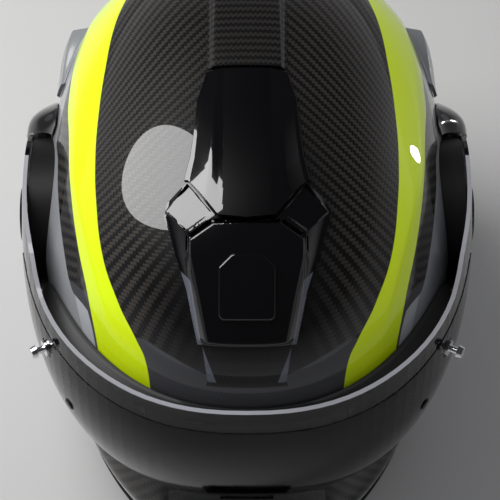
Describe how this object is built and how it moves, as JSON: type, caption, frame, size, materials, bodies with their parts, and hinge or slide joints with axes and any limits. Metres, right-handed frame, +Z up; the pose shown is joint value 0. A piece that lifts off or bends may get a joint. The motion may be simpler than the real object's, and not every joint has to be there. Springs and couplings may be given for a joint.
{
  "type": "full face helmet",
  "caption": "Full-face sport helmet: moulded shell with brow and chin intakes, hinged visor on side pivots, foam liner, padding and a two-ring chin strap.",
  "frame": {"origin": "on the surface it stands on, in the middle of the helmet's box", "axes": "+Z up from the rim to the crown, the face looks along -Y, +X is the wearer's left"},
  "size_m": [0.26, 0.3348, 0.2658],
  "materials": {
    "bead_rubber": "matte",
    "carbon_shell": "gloss twill carbon with painted bands",
    "clear_visor": "clear polycarbonate",
    "film": "transport film",
    "fin_grey": "satin",
    "foam": "bead foam",
    "fog_lens": "clear",
    "gloss_black": "gloss",
    "matte_black": "matte",
    "pad_cloth": "knit",
    "post_metal": "bright",
    "seal_rubber": "matte",
    "steel": "plated",
    "webbing": "woven"
  },
  "bodies": {
    "helmet": {"outer_shell": "carbon_shell", "rim_trim": "bead_rubber", "eyeport_seal": "seal_rubber", "impact_liner": "foam", "chin_liner": "foam", "cheek_core_left": "foam", "cheek_core_right": "foam", "cheek_pad_left": "pad_cloth", "cheek_pad_right": "pad_cloth", "crown_pad": "pad_cloth", "neck_roll": "pad_cloth", "breath_guard": "bead_rubber", "chin_curtain": "pad_cloth", "brow_vent_housing": "gloss_black", "brow_vent_mesh": "matte_black", "top_scoop": "matte_black", "chin_vent_housing": "gloss_black", "chin_vent_mesh": "matte_black", "rear_spoiler": "gloss_black", "side_fin_left": "fin_grey", "side_fin_right": "fin_grey", "pivot_plate_left": "matte_black", "pivot_plate_right": "matte_black", "hub_cap_left": "matte_black", "hub_cap_right": "matte_black", "plate_screws": "steel", "side_pod_left": "gloss_black", "side_pod_right": "gloss_black", "pod_screws": "steel", "release_spring_left": "steel", "release_spring_right": "steel", "chin_strap_left": "webbing", "chin_strap_right": "webbing", "strap_anchors": "steel"},
    "visor": {"visor": "clear_visor", "visor_film": "film", "fog_lens": "fog_lens", "fog_lens_pins": "matte_black", "tear_off_posts": "post_metal"},
    "brow_slider": {"brow_vent_slider": "gloss_black"},
    "chin_shutter": {"chin_vent_shutter": "matte_black"},
    "lever_left": {"release_lever_left": "matte_black"},
    "lever_right": {"release_lever_right": "matte_black"},
    "strap_rings": {"d_ring_upper": "steel", "d_ring_lower": "steel"}
  },
  "joints": [
    {"name": "visor_hinge", "type": "hinge", "parent": "helmet", "child": "visor", "pos_m": [0, -0.0017, 0.15], "axis": [-1, 0, 0], "range_deg": [0, 50]},
    {"name": "brow_vent_slide", "type": "slide", "parent": "helmet", "child": "brow_slider", "axis": [0, 0.8465, 0.5325], "range_m": [0, 0.007]},
    {"name": "chin_vent_slide", "type": "slide", "parent": "helmet", "child": "chin_shutter", "axis": [0, 0.2141, -0.9768], "range_m": [0, 0.008]},
    {"name": "release_left", "type": "slide", "parent": "helmet", "child": "lever_left", "axis": [0, 0, 1], "range_m": [0, 0.003], "stiffness_N_per_m": 400, "springref_m": -0.002, "deforming": ["release_spring_left"]},
    {"name": "release_right", "type": "slide", "parent": "helmet", "child": "lever_right", "axis": [0, 0, 1], "range_m": [0, 0.003], "stiffness_N_per_m": 400, "springref_m": -0.002, "deforming": ["release_spring_right"]},
    {"name": "strap_ring_swing", "type": "hinge", "parent": "helmet", "child": "strap_rings", "pos_m": [0.04, 0.0063, 0.01], "axis": [0, 1, 0], "range_deg": [0, 75]}
  ]
}
